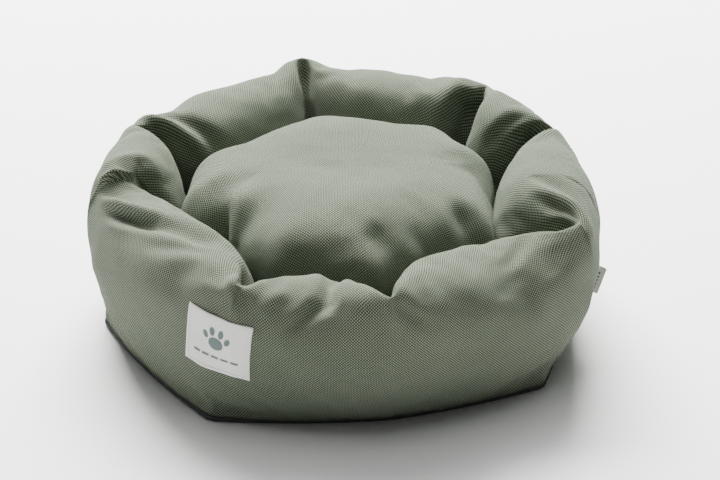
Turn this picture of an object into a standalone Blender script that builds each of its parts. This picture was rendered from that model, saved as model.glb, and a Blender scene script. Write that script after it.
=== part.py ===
"""Pet cushion bed: an eight-sided stuffed bolster around a loose domed cushion.

Metres, +Z up. The origin is the centre of the underside, on the surface that the bed stands on.
The front, with the sewn label, faces -Y.
"""
import math

import bmesh
import bpy

# ---- driving dimensions of the bolster -------------------------------------------------
SIDES = 8
FIRST_CORNER_DEG = -32.0          # the corner nearest +X, before the filling settles
# how far the filling has turned each corner away from an even spacing, in degrees
CORNER_TURN_DEG = (3.0, 10.0, -8.0, -1.5, 11.0, -5.0, 8.0, -3.0)

WALL_RADIUS = 0.243               # outer wall at its widest, at a corner
BASE_RADIUS = 0.227               # outer wall where it meets the underside, at a corner
# how far each corner stands out or in from WALL_RADIUS, and its base from BASE_RADIUS
WALL_REACH = (0.016, -0.008, -0.004, 0.001, -0.003, 0.002, 0.0, 0.0)
BASE_REACH = (0.004, 0.001, 0.0, 0.0, 0.0, 0.006, 0.003, -0.029)
# how far round the base's corners lie from the corners above them, in degrees
BASE_TURN_DEG = (-8.0, 0.0, 0.0, 0.0, 0.0, -2.0, -8.0, 2.0)
WALL_ROUNDNESS = 0.75             # 0 is a straight-sided plan, 1 is a circle
BASE_ROUNDNESS = 0.30
WALL_WIDEST_HEIGHT = 0.108

CREST_HEIGHT = 0.172              # at the middle of a side
CORNER_CREST_HEIGHT = 0.166
# how far the crest stands above or below those at each corner, and at the middle of the side
# that follows it: the filling has settled lower at the front
CORNER_RISE = (0.0, -0.008, -0.003, 0.009, 0.0, -0.005, -0.013, -0.014)
SIDE_RISE = (0.0, 0.0, 0.0, 0.0, 0.0, -0.013, -0.027, -0.022)
CREST_SHIFT = 0.004               # crest line outwards from the middle of the tube
CORNER_CREST_INSET = 0.012        # crest line in from the outer wall, at a corner

WELL_RADIUS = 0.170               # inner wall at a corner seam
WELL_BULGE = 0.008                # inner wall towards the cushion, at the middle of a side
WELL_BULGE_HEIGHT = 0.082
WELL_TUCK = 0.006                 # inner wall back out again, where it meets the floor
PINCH_POWER = 3.0                 # how close to its seams a side starts to pinch

CREST_FULLNESS = 0.90             # exponent of the crest's curve: 1 is an ellipse, 2 is straight
CORNER_FULLNESS = 1.8
CREST_SEAM_TURN = math.radians(32.0)   # how far over the crest the outer cover ends

# ---- cloth, pads and cushion ------------------------------------------------------------
CLOTH = 0.0012                    # woven cover fabric
UNDERSIDE_CLOTH = 0.0013          # dotted non-slip fabric
LINING_CLOTH = 0.0010
BASE_PAD_THICKNESS = 0.0085
GAP = 0.0003                      # between pieces that touch

CUSHION_CLEARANCE = 0.0015        # cushion to inner wall, all round
CUSHION_CORNER_SHARE = 0.70       # how far the cushion fills into the corners of the well
CUSHION_HEIGHT = 0.150            # from its underside to the top of its dome
CUSHION_GIRTH_HEIGHT = 0.062      # girth seam above its underside
CUSHION_DOME_POWER = 3.0          # superellipse exponents: 2 is round, larger is boxier
CUSHION_BASE_POWER = 4.5

# ---- label and tag ------------------------------------------------------------------------
LABEL_TURN_DEG = 242.5
LABEL_WIDTH = 0.062
LABEL_HEIGHT = 0.056
LABEL_CENTRE_HEIGHT = 0.089
LABEL_CLOTH = 0.0007
LABEL_GAP = 0.0006                # off the wall, whose facets twist a little under the label
STITCH_INSET = 0.003
STITCH_RADIUS = 0.0004

TAG_TURN_DEG = -12.0
TAG_HEIGHT = 0.030
TAG_DEPTH = 0.014
TAG_CENTRE_HEIGHT = 0.068
TAG_RIBBON = 0.0007
TAG_LOOP_GAP = 0.0008
TAG_ROOT_GAP = 0.0026             # hinge line out from the wall
SEAM_GAP = 0.0006                 # between the two ends of the outer cover

# ---- how finely the curves are cut -----------------------------------------------------
SIDE_STEPS = (0.0, 0.08, 0.23, 0.50, 0.77, 0.92)   # stations along one side
WALL_STEPS = 4
CREST_STEPS = 4
TUCK_STEPS = 3
CUSHION_STEPS = 5
TAG_FOLD_STEPS = 6


def lerp(a, b, t):
    return a + (b - a) * t


def corner_turn(index):
    """Angle of a corner, in radians; indices past the last go on round."""
    degrees = FIRST_CORNER_DEG + index * 360.0 / SIDES
    return math.radians(degrees + CORNER_TURN_DEG[index % SIDES])


def chord_radius(turn_across, share, first, last):
    """Radius, at a share of the way along a side, of the straight line between its corners."""
    before = share * turn_across
    after = (1.0 - share) * turn_across
    return first * last * math.sin(turn_across) / (first * math.sin(before) + last * math.sin(after))


def plan_radius(turn_across, share, first, last, roundness):
    """Radius of a side that lies between its chord and the arc through its corners."""
    chord = chord_radius(turn_across, share, first, last)
    return lerp(chord, lerp(first, last, share), roundness)


def wall_radius(index, share):
    """Outer wall at its widest height."""
    first = WALL_RADIUS + WALL_REACH[index % SIDES]
    last = WALL_RADIUS + WALL_REACH[(index + 1) % SIDES]
    turn_across = corner_turn(index + 1) - corner_turn(index)
    return plan_radius(turn_across, share, first, last, WALL_ROUNDNESS)


def base_corner_turn(index):
    return corner_turn(index) + math.radians(BASE_TURN_DEG[index % SIDES])


def base_radius(turn):
    """Outer wall where it meets the underside, at an angle."""
    index = max(number for number in range(-1, 2 * SIDES) if base_corner_turn(number) <= turn)
    first = BASE_RADIUS + BASE_REACH[index % SIDES]
    last = BASE_RADIUS + BASE_REACH[(index + 1) % SIDES]
    turn_across = base_corner_turn(index + 1) - base_corner_turn(index)
    share = (turn - base_corner_turn(index)) / turn_across
    return plan_radius(turn_across, share, first, last, BASE_ROUNDNESS)


def pinch(share):
    """0 along the middle of a side, rising to 1 at its two seams."""
    return abs(2.0 * share - 1.0) ** PINCH_POWER


def well_radius(index, share):
    """Inner wall at its narrowest height."""
    turn_across = corner_turn(index + 1) - corner_turn(index)
    chord = chord_radius(turn_across, share, WELL_RADIUS, WELL_RADIUS)
    return chord - WELL_BULGE * (1.0 - pinch(share))


def profile(index, share):
    """The bolster's cross-section at one place, as (radius, height) points.

    It runs from the foot of the outer wall, over the crest, to the foot of the inner wall.
    The second result is the index of the point where the outer cover ends.
    """
    near = pinch(share)
    base = base_radius(side_turn(index, share))
    wall = wall_radius(index, share)
    well = well_radius(index, share)
    crest = lerp((wall + well) / 2.0 + CREST_SHIFT, wall - CORNER_CREST_INSET, near)
    rise = lerp(CORNER_RISE[index % SIDES], CORNER_RISE[(index + 1) % SIDES], share)
    top = lerp(CREST_HEIGHT + SIDE_RISE[index % SIDES], CORNER_CREST_HEIGHT + rise, near)
    power = lerp(CREST_FULLNESS, CORNER_FULLNESS, near)
    foot = UNDERSIDE_CLOTH + GAP

    points = []
    for step in range(WALL_STEPS):
        part = step / WALL_STEPS
        out = math.sin(part * math.pi / 2.0)
        points.append((lerp(base, wall, out), lerp(foot, WALL_WIDEST_HEIGHT, part)))
    for step in range(CREST_STEPS):
        turn = step / CREST_STEPS * math.pi / 2.0
        out = math.cos(turn) ** CREST_FULLNESS
        up = math.sin(turn) ** CREST_FULLNESS
        points.append((lerp(crest, wall, out), lerp(WALL_WIDEST_HEIGHT, top, up)))
    points.append((crest, top))
    turns = [CREST_SEAM_TURN]
    for step in range(2, CREST_STEPS):
        turns.append(step / CREST_STEPS * math.pi / 2.0)
    for turn in turns:
        out = math.sin(turn) ** power
        up = math.cos(turn) ** power
        points.append((lerp(crest, well, out), lerp(WELL_BULGE_HEIGHT, top, up)))
    for step in range(TUCK_STEPS + 1):
        part = step / TUCK_STEPS
        back = 1.0 - math.cos(part * math.pi / 2.0)
        points.append((lerp(well, well + WELL_TUCK, back), lerp(WELL_BULGE_HEIGHT, foot, part)))
    return points, WALL_STEPS + CREST_STEPS + 1


def inset_profile(points, depth):
    """The same cross-section, moved in from its surface by a depth, on the same foot."""
    moved = []
    for number, (radius, height) in enumerate(points):
        before = points[max(number - 1, 0)]
        after = points[min(number + 1, len(points) - 1)]
        run, rise = after[0] - before[0], after[1] - before[1]
        length = math.hypot(run, rise)
        moved.append((radius - depth * rise / length, height + depth * run / length))
    moved[0] = (points[0][0] - depth, points[0][1])
    moved[-1] = (points[-1][0] + depth, points[-1][1])
    return moved


def place(turn, radius, height):
    return (radius * math.cos(turn), radius * math.sin(turn), height)


def side_turn(index, share):
    return lerp(corner_turn(index), corner_turn(index + 1), share)


# ---- mesh building -------------------------------------------------------------------------
def add_object(name, points, faces, material, sharp_deg=50.0):
    """One closed piece from points and faces, its faces turned outwards."""
    mesh = bpy.data.meshes.new(name)
    mesh.from_pydata(points, [], faces)
    work = bmesh.new()
    work.from_mesh(mesh)
    bmesh.ops.recalc_face_normals(work, faces=work.faces)
    work.to_mesh(mesh)
    work.free()
    mesh.shade_smooth()
    mesh.set_sharp_from_angle(angle=math.radians(sharp_deg))
    mesh.materials.append(material)
    piece = bpy.data.objects.new(name, mesh)
    bpy.context.collection.objects.link(piece)
    return piece


def tube_solid(name, sections, material, closed=False, turned=None):
    """A solid through cross-sections that are closed outlines, capped unless it is a ring.

    The outline of a skin comes back along its other side from column `turned`, where the quads
    are split along the other diagonal, so that both sides, and the filling, have the same facets.
    """
    count = len(sections[0])
    turned = turned or count
    points = [point for section in sections for point in section]
    faces = []
    last = len(sections) if closed else len(sections) - 1
    for row in range(last):
        here, there = row * count, (row + 1) % len(sections) * count
        for column in range(count):
            onward = (column + 1) % count
            quad = [here + column, here + onward, there + onward, there + column]
            if column >= turned:
                quad = quad[1:] + quad[:1]
            faces.append((quad[0], quad[1], quad[2]))
            faces.append((quad[0], quad[2], quad[3]))
    if not closed:
        faces.append(tuple(range(count)))
        faces.append(tuple(range((len(sections) - 1) * count, len(sections) * count)))
    return add_object(name, points, faces, material)


def disc_solid(name, outline, low, high, material):
    """A flat sheet or pad with the given outline, as (turn, radius) points."""
    count = len(outline)
    points = [place(turn, radius, low) for turn, radius in outline]
    points += [place(turn, radius, high) for turn, radius in outline]
    points += [(0.0, 0.0, low), (0.0, 0.0, high)]
    faces = []
    for number in range(count):
        onward = (number + 1) % count
        faces.append((number, onward, count + onward, count + number))
        faces.append((number, onward, 2 * count))
        faces.append((count + number, count + onward, 2 * count + 1))
    return add_object(name, points, faces, material, sharp_deg=30.0)


def make_material(name, colour, roughness):
    material = bpy.data.materials.new(name)
    material.use_nodes = True
    shader = material.node_tree.nodes["Principled BSDF"]
    shader.inputs["Base Color"].default_value = (*colour, 1.0)
    shader.inputs["Roughness"].default_value = roughness
    shader.inputs["Metallic"].default_value = 0.0
    return material


# ---- the bolster -----------------------------------------------------------------------------
def seam_shares():
    """Where the two ends of the outer cover lie along the first side, at the tag's seam."""
    start, end = corner_turn(0), corner_turn(1)
    seam = (math.radians(TAG_TURN_DEG) - start) / (end - start)
    half_gap = SEAM_GAP / 2.0 / WALL_RADIUS / (end - start)
    return seam - half_gap, seam + half_gap


def side_shares(index):
    """Stations along one side, from its first corner to just short of its second."""
    if index % SIDES > 0:
        return list(SIDE_STEPS)
    low, high = seam_shares()
    margin = high - low
    return sorted([low, high, *(step for step in SIDE_STEPS if not low - margin < step < high + margin)])


def all_stations():
    return [(index, share) for index in range(SIDES) for share in side_shares(index)]


def cover_stations():
    """Stations for the outer cover, once round from one side of the tag's seam to the other."""
    stations = all_stations()
    first = stations.index((0, seam_shares()[1]))
    return stations[first:] + stations[:first]


def skin_section(turn, outer, inner):
    outline = [place(turn, radius, height) for radius, height in outer]
    outline += [place(turn, radius, height) for radius, height in reversed(inner)]
    return outline


def make_outer_cover(material):
    """One strip of fabric, up the outer wall and over the crest, its ends at the tag's seam."""
    sections = []
    for index, share in cover_stations():
        points, seam = profile(index, share)
        inner = inset_profile(points, CLOTH)
        sections.append(skin_section(side_turn(index, share), points[:seam + 1], inner[:seam + 1]))
    return tube_solid("outer_cover", sections, material, turned=seam + 1)


def gap_shares(index):
    """The stations of one side, with half a gap left at each of its two seams."""
    edge = GAP / 2.0 / WELL_RADIUS / (corner_turn(index + 1) - corner_turn(index))
    return [edge, *side_shares(index)[1:], 1.0 - edge]


def seam_offset(points, seam, gap):
    """The point just past the cover's edge, a gap further along the cross-section."""
    here, there = points[seam], points[seam + 1]
    share = gap / math.dist(here, there)
    return (lerp(here[0], there[0], share), lerp(here[1], there[1], share))


def make_inner_panels(material):
    """Eight panels from the crest down the inner wall, one between each pair of corner seams."""
    for index in range(SIDES):
        sections = []
        for share in gap_shares(index):
            points, seam = profile(index, share)
            inner = inset_profile(points, CLOTH)
            outer_edge = [seam_offset(points, seam, GAP), *points[seam + 1:]]
            inner_edge = [seam_offset(inner, seam, GAP), *inner[seam + 1:]]
            sections.append(skin_section(side_turn(index, share), outer_edge, inner_edge))
        tube_solid(f"inner_panel_{index + 1}", sections, material, turned=len(outer_edge))


def make_bolster_fill(material):
    """Eight wads of fibre, one in each chamber of the bolster."""
    for index in range(SIDES):
        sections = []
        for share in gap_shares(index):
            points, _ = profile(index, share)
            wad = inset_profile(points, CLOTH + GAP)
            turn = side_turn(index, share)
            sections.append([place(turn, radius, height) for radius, height in wad])
        tube_solid(f"bolster_fill_{index + 1}", sections, material)


# ---- the base ----------------------------------------------------------------------------------
def well_floor_outline(height):
    """Just inside the foot of the inner wall, where the wall reaches a height."""
    outline = []
    for index, share in all_stations():
        points, _ = profile(index, share)
        above, foot = points[-2:]
        part = (above[1] - height) / (above[1] - foot[1])
        outline.append((side_turn(index, share), lerp(above[0], foot[0], part) - GAP))
    return outline


def make_base(underside_material, pad_material, lining_material):
    rim = []
    for index, share in all_stations():
        points, _ = profile(index, share)
        rim.append((side_turn(index, share), points[0][0]))
    disc_solid("nonslip_underside", rim, 0.0, UNDERSIDE_CLOTH, underside_material)
    pad_low = UNDERSIDE_CLOTH + GAP
    pad_high = pad_low + BASE_PAD_THICKNESS
    disc_solid("base_pad", well_floor_outline(pad_high), pad_low, pad_high, pad_material)
    lining = well_floor_outline(lining_top())
    disc_solid("base_lining", lining, pad_high + GAP, lining_top(), lining_material)


def lining_top():
    return UNDERSIDE_CLOTH + GAP + BASE_PAD_THICKNESS + GAP + LINING_CLOTH


# ---- the cushion -------------------------------------------------------------------------------
def cushion_outline(inset):
    """The girth of the cushion: the well's own shape, less its clearance and softer corners."""
    outline = []
    for index, share in all_stations():
        wall = well_radius(index, share)
        middle = well_radius(index, 0.5)
        reach = middle + (wall - middle) * CUSHION_CORNER_SHARE
        outline.append((side_turn(index, share), min(wall, reach) - CUSHION_CLEARANCE - inset))
    return outline


def cushion_rings(outline, girth, end, power):
    """Rings from the girth to the pole of one half of the cushion, the pole left out."""
    rings = []
    for step in range(CUSHION_STEPS):
        turn = step / CUSHION_STEPS * math.pi / 2.0
        share = math.cos(turn) ** (2.0 / power)
        height = lerp(girth, end, math.sin(turn) ** (2.0 / power))
        rings.append([place(around, radius * share, height) for around, radius in outline])
    return rings


def bowl_faces(rings, count, first, pole):
    """Faces of a run of rings that closes at a pole."""
    faces = []
    for ring in range(rings):
        for number in range(count):
            onward = (number + 1) % count
            here = first + ring * count
            if ring == rings - 1:
                faces.append((here + number, here + onward, pole))
            else:
                faces.append((here + number, here + onward, here + count + onward, here + count + number))
    return faces


def make_cushion_half(name, girth, end, power, material):
    """One half of the cushion's cover: a bowl of cloth, turned up or down."""
    inward = -CLOTH if end > girth else CLOTH
    outer = cushion_rings(cushion_outline(0.0), girth, end, power)
    inner = cushion_rings(cushion_outline(CLOTH), girth, end + inward, power)
    count = len(outer[0])
    rings = len(outer)
    points = [point for ring in outer + inner for point in ring]
    poles = len(points)
    points += [(0.0, 0.0, end), (0.0, 0.0, end + inward)]
    faces = bowl_faces(rings, count, 0, poles)
    faces += bowl_faces(rings, count, rings * count, poles + 1)
    for number in range(count):
        onward = (number + 1) % count
        faces.append((number, onward, rings * count + onward, rings * count + number))
    return add_object(name, points, faces, material)


def make_cushion(cover_material, fill_material, parent):
    low = lining_top() + GAP
    high = low + CUSHION_HEIGHT
    girth = low + CUSHION_GIRTH_HEIGHT
    top = make_cushion_half("cushion_top_cover", girth + GAP / 2.0, high, CUSHION_DOME_POWER, cover_material)
    bottom = make_cushion_half(
        "cushion_bottom_cover", girth - GAP / 2.0, low, CUSHION_BASE_POWER, cover_material)
    inset = CLOTH + GAP
    outline = cushion_outline(inset)
    upper = cushion_rings(outline, girth, high - inset, CUSHION_DOME_POWER)
    lower = cushion_rings(outline, girth, low + inset, CUSHION_BASE_POWER)
    count = len(outline)
    rings = len(upper)
    points = [point for ring in upper + lower[1:] for point in ring]
    poles = len(points)
    points += [(0.0, 0.0, high - inset), (0.0, 0.0, low + inset)]
    faces = bowl_faces(rings, count, 0, poles)
    for number in range(count):
        onward = (number + 1) % count
        faces.append((number, onward, rings * count + onward, rings * count + number))
    faces += bowl_faces(rings - 1, count, rings * count, poles + 1)
    fill = add_object("cushion_fill", points, faces, fill_material)
    for piece in (top, bottom, fill):
        piece.parent = parent


# ---- label and tag -----------------------------------------------------------------------------
def wall_point(turn, height, out):
    """A point off the outer wall's own flat facets, at an angle and a height."""
    index = max(number for number in range(2 * SIDES) if corner_turn(number) <= turn)
    shares = [*side_shares(index), 1.0]
    share = (turn - corner_turn(index)) / (corner_turn(index + 1) - corner_turn(index))
    step = max(number for number in range(len(shares) - 1) if shares[number] <= share)
    near, far = shares[step], shares[step + 1]
    ends = []
    for station in (near, far):
        points, _ = profile(index, station)
        wall = points[:WALL_STEPS + 2]
        row = max(number for number in range(len(wall) - 1) if wall[number][1] <= height)
        part = (height - wall[row][1]) / (wall[row + 1][1] - wall[row][1])
        ends.append(place(side_turn(index, station), lerp(wall[row][0], wall[row + 1][0], part), height))
    (x0, y0, _), (x1, y1, _) = ends
    run_x, run_y = x1 - x0, y1 - y0
    cross = math.cos(turn) * run_y - math.sin(turn) * run_x
    radius = (x0 * run_y - y0 * run_x) / cross
    return place(turn, radius + out, height)


def label_turns():
    """Columns of the label: its two edges, and each facet edge of the wall between them."""
    half = LABEL_WIDTH / 2.0 / WALL_RADIUS
    centre = math.radians(LABEL_TURN_DEG)
    inside = []
    for index, share in all_stations():
        turn = side_turn(index, share)
        if centre - half + 0.01 < turn < centre + half - 0.01:
            inside.append(turn)
    return [centre - half, *inside, centre + half]


def label_heights():
    """Rows of the label: its two edges, and each facet edge of the wall between them."""
    low = LABEL_CENTRE_HEIGHT - LABEL_HEIGHT / 2.0
    high = LABEL_CENTRE_HEIGHT + LABEL_HEIGHT / 2.0
    foot = UNDERSIDE_CLOTH + GAP
    rows = [lerp(foot, WALL_WIDEST_HEIGHT, step / WALL_STEPS) for step in range(WALL_STEPS + 1)]
    return [low, *[row for row in rows if low + 0.002 < row < high - 0.002], high]


def make_label(material):
    sections = []
    for turn in label_turns():
        heights = label_heights()
        outline = [wall_point(turn, height, LABEL_GAP) for height in heights]
        outline += [wall_point(turn, height, LABEL_GAP + LABEL_CLOTH) for height in reversed(heights)]
        sections.append(outline)
    return tube_solid("label_patch", sections, material)


def make_label_stitching(material):
    """The thread round the label's edge, as one square-cut loop that lies on it."""
    inset = STITCH_INSET / WALL_RADIUS
    turns = label_turns()
    turns[0] += inset
    turns[-1] -= inset
    heights = label_heights()
    heights[0] += STITCH_INSET
    heights[-1] -= STITCH_INSET
    route = [(turn, heights[0], 0.0, -1.0) for turn in turns]
    route += [(turns[-1], height, 1.0, 0.0) for height in heights[1:]]
    route += [(turn, heights[-1], 0.0, 1.0) for turn in reversed(turns[:-1])]
    route += [(turns[0], height, -1.0, 0.0) for height in reversed(heights[1:-1])]
    corners = {(turns[0], heights[0]), (turns[-1], heights[0]), (turns[-1], heights[-1]),
               (turns[0], heights[-1])}
    low = LABEL_GAP + LABEL_CLOTH + GAP
    sections = []
    for turn, height, across, up in route:
        if (turn, height) in corners:
            across = 1.0 if turn == turns[-1] else -1.0
            up = 1.0 if height == heights[-1] else -1.0
        section = []
        for side, out in ((-1, low), (1, low), (1, low + 2 * STITCH_RADIUS), (-1, low + 2 * STITCH_RADIUS)):
            sideways = side * STITCH_RADIUS
            section.append(wall_point(turn + across * sideways / WALL_RADIUS, height + up * sideways, out))
        sections.append(section)
    return tube_solid("label_stitching", sections, material, closed=True)


def tag_hinge():
    """Where the tag's seam is, and which way is up along the wall and out from it."""
    turn = math.radians(TAG_TURN_DEG)
    low = wall_point(turn + 2.0 * math.pi, TAG_CENTRE_HEIGHT - TAG_HEIGHT / 2.0, TAG_ROOT_GAP)
    high = wall_point(turn + 2.0 * math.pi, TAG_CENTRE_HEIGHT + TAG_HEIGHT / 2.0, TAG_ROOT_GAP)
    lean = math.atan2(math.hypot(*high[:2]) - math.hypot(*low[:2]), TAG_HEIGHT)
    middle = [lerp(a, b, 0.5) for a, b in zip(low, high)]
    return middle, turn, lean


def make_tag(material):
    """A ribbon folded into a flat loop; its object's origin lies on its seam."""
    middle, turn, lean = tag_hinge()
    half = TAG_LOOP_GAP / 2.0
    centre = TAG_DEPTH - half - TAG_RIBBON
    outer = [(0.0, -half - TAG_RIBBON)]
    inner = [(0.0, -half)]
    for step in range(TAG_FOLD_STEPS + 1):
        angle = math.pi * (step / TAG_FOLD_STEPS - 0.5)
        outer.append((centre + (half + TAG_RIBBON) * math.cos(angle), (half + TAG_RIBBON) * math.sin(angle)))
        inner.append((centre + half * math.cos(angle), half * math.sin(angle)))
    outer.append((0.0, half + TAG_RIBBON))
    inner.append((0.0, half))
    outline = outer + inner[::-1]
    sections = []
    for height in (-TAG_HEIGHT / 2.0, TAG_HEIGHT / 2.0):
        sections.append([(depth, across, height) for depth, across in outline])
    tag = tube_solid("side_tag", sections, material)
    tag.location = middle
    tag.rotation_euler = (0.0, lean, turn)
    return tag


def main():
    for old in list(bpy.data.objects):
        bpy.data.objects.remove(old, do_unlink=True)
    weave = make_material("sage_weave", (0.24, 0.28, 0.21), 0.9)
    wadding = make_material("white_wadding", (0.85, 0.85, 0.83), 0.95)
    underside = make_material("dark_nonslip_cloth", (0.05, 0.055, 0.05), 0.8)
    lining = make_material("grey_lining", (0.30, 0.32, 0.28), 0.9)
    label = make_material("off_white_label", (0.70, 0.70, 0.66), 0.8)
    thread = make_material("pale_thread", (0.78, 0.78, 0.74), 0.7)
    ribbon = make_material("off_white_ribbon", (0.74, 0.73, 0.68), 0.8)

    make_outer_cover(weave)
    make_inner_panels(weave)
    make_bolster_fill(wadding)
    make_base(underside, wadding, lining)
    cushion = bpy.data.objects.new("cushion_lift_origin", None)
    bpy.context.collection.objects.link(cushion)
    make_cushion(weave, wadding, cushion)
    make_label(label)
    make_label_stitching(thread)
    make_tag(ribbon)


main()
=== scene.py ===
"""The looks of the pet cushion bed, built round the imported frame. Metres, +Z up, front at -Y."""
import math

import bmesh
import bpy
import numpy as np
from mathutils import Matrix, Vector, noise
from mathutils.bvhtree import BVHTree


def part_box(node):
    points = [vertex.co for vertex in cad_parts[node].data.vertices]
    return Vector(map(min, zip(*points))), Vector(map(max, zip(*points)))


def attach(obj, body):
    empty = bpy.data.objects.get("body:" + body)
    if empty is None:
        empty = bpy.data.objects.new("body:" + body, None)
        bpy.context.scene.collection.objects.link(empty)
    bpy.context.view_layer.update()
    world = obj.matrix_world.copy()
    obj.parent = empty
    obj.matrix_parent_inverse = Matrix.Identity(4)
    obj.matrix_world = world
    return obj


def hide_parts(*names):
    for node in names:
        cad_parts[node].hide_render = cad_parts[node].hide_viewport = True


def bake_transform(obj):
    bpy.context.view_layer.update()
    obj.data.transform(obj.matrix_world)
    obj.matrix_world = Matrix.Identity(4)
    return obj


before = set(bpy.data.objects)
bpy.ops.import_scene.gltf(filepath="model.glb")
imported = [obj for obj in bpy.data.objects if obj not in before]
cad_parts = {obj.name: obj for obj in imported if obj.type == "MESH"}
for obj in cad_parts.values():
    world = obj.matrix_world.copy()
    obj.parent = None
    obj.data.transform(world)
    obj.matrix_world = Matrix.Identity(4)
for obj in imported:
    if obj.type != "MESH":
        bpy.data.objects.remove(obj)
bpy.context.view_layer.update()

# ---- the bolster's plan and cross-section, as the CAD part has them -----------------------
CORNERS_DEG = (-29.0, 23.0, 50.0, 101.5, 159.0, 188.0, 246.0, 280.0)
SIDES = len(CORNERS_DEG)
WALL_RADIUS = 0.242
WALL_REACH = (0.016, -0.008, -0.004, 0.001, -0.003, 0.002, 0.0, 0.0)
BASE_RADIUS = 0.227
BASE_REACH = (0.004, 0.001, 0.0, 0.0, 0.0, 0.006, 0.003, -0.029)
BASE_TURN_DEG = (-8.0, 0.0, 0.0, 0.0, 0.0, -2.0, -8.0, 2.0)
WALL_ROUNDNESS = 0.75
BASE_ROUNDNESS = 0.30
WIDEST_HEIGHT = 0.106
CREST_HEIGHT = 0.173
CORNER_CREST_HEIGHT = 0.167
CORNER_RISE = (0.000, -0.009, -0.003, 0.010, 0.0, -0.005, -0.012, -0.013)
SIDE_RISE = (0.0, 0.0, 0.0, 0.0, 0.0, -0.013, -0.028, -0.022)
CREST_PINCH = (0.85, 0.80, 0.80, 0.90, 0.50, 0.16, 1.0, 1.0)   # 1 scoops a corner's crest right out
CREST_SHIFT = 0.004
CORNER_CREST_INSET = 0.010
WELL_RADIUS = 0.170
WELL_BULGE = 0.009
BULGE_HEIGHT = 0.082
WELL_TUCK = 0.006
CREST_FULLNESS = 0.88
CORNER_FULLNESS = 1.6
FOOT = 0.002
TAG_DEG = -12.0
LINING_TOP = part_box("base_lining")[1][2]
CUSHION_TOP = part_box("cushion_top_cover")[1][2] + 0.005   # the dome stands fuller than its plain shape

# ---- how finely the cloth is divided -------------------------------------------------------
SIDE_COLUMNS = 33
BOLSTER_ROWS = 78
PROFILE_SAMPLES = 240

# ---- folds in the bolster's cloth -------------------------------------------------------------
# Each runs between two places, given as an angle in degrees and a share of the way over the
# bolster, from 0 at its outer foot to 1 at its inner foot. The third value is how far it stands
# up, or down if negative, and the fourth is its half width, both in metres.
FOLDS = (
    # the left shoulder, where the cloth bunches beside its corner
    ((192.0, 0.43), (214.0, 0.50), 0.006, 0.006),
    ((184.0, 0.44), (181.0, 0.54), 0.003, 0.008),
    ((197.0, 0.415), (214.0, 0.465), -0.010, 0.007),
    ((216.0, 0.47), (230.0, 0.51), -0.004, 0.008),
    ((200.0, 0.49), (226.0, 0.56), 0.005, 0.010),
    ((218.0, 0.42), (232.0, 0.48), -0.003, 0.007),
    # the back corners
    ((155.0, 0.47), (150.0, 0.66), 0.007, 0.005),
    ((152.0, 0.50), (147.0, 0.62), -0.003, 0.006),
    ((106.0, 0.45), (105.5, 0.60), 0.002, 0.009),
    ((56.0, 0.47), (58.0, 0.66), 0.003, 0.008),
    ((46.0, 0.48), (44.0, 0.66), -0.003, 0.009),
    ((28.0, 0.50), (31.0, 0.64), -0.004, 0.006),
    ((19.0, 0.48), (16.0, 0.62), 0.003, 0.008),
    # the right shoulder
    ((330.0, 0.43), (337.0, 0.55), -0.006, 0.007),
    ((322.0, 0.50), (311.0, 0.45), -0.004, 0.007),
    ((325.0, 0.44), (320.0, 0.38), -0.004, 0.009),
    ((335.0, 0.46), (342.0, 0.56), 0.004, 0.008),
    ((313.0, 0.42), (306.0, 0.38), -0.002, 0.008),
    # the front, drawn in over the crest at three places
    ((248.0, 0.43), (247.0, 0.52), -0.006, 0.006),
    ((252.0, 0.40), (256.0, 0.47), 0.004, 0.008),
    ((258.0, 0.36), (266.0, 0.46), -0.006, 0.007),
    ((266.0, 0.45), (267.0, 0.60), -0.009, 0.007),
    ((272.0, 0.41), (273.0, 0.52), 0.005, 0.011),
    ((281.0, 0.45), (280.0, 0.54), -0.005, 0.006),
    ((286.0, 0.39), (281.0, 0.45), -0.004, 0.007),
)

# ---- dents in the cushion: across, front to back, depth and reach ------------------------------
DENTS = (
    (-0.122, -0.066, -0.020, 0.016),
    (-0.104, -0.092, -0.009, 0.016),
    (-0.098, -0.058, 0.005, 0.018),
    (0.112, -0.078, -0.010, 0.014),
    (0.090, -0.082, 0.004, 0.016),
    (0.030, -0.128, -0.008, 0.016),
    (-0.020, -0.122, 0.004, 0.020),
    (0.098, 0.015, -0.006, 0.032),
    (0.020, -0.088, 0.003, 0.030),
    (0.070, -0.112, -0.005, 0.012),
)


def smooth(low, high, x):
    """0 below low, 1 above high, an S-curve between."""
    t = np.clip((np.asarray(x, float) - low) / (high - low), 0.0, 1.0)
    return t * t * (3.0 - 2.0 * t)


def lerp(a, b, t):
    return a + (b - a) * t


def corner(index):
    return math.radians(CORNERS_DEG[index % SIDES] + 360.0 * (index // SIDES))


def rough(points, scale, seed, octaves=3):
    """Smooth noise of about -1 to 1 at each point, with features of the given size."""
    shift = Vector((seed * 3.71, seed * 1.93, seed * 2.57))
    flat = points.reshape(-1, 3)
    values = [noise.fractal(Vector(p) / scale + shift, 0.9, 2.0, octaves) for p in flat.tolist()]
    return np.array(values).reshape(points.shape[:-1])


# ---- mesh building ------------------------------------------------------------------------------
def mesh_object(name, points, faces, material, uvs=None, body="bolster"):
    mesh = bpy.data.meshes.new(name)
    mesh.from_pydata([tuple(p) for p in np.asarray(points, float).reshape(-1, 3).tolist()], [], faces)
    if uvs is not None:
        layer = mesh.uv_layers.new(name="cloth")
        layer.data.foreach_set("uv", np.asarray(uvs, np.float32).ravel())
    mesh.materials.append(material)
    mesh.shade_smooth()
    piece = bpy.data.objects.new(name, mesh)
    bpy.context.collection.objects.link(piece)
    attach(piece, body)
    return piece


def coords(piece):
    flat = np.empty(len(piece.data.vertices) * 3, np.float32)
    piece.data.vertices.foreach_get("co", flat)
    return flat.reshape(-1, 3).astype(float)


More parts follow.
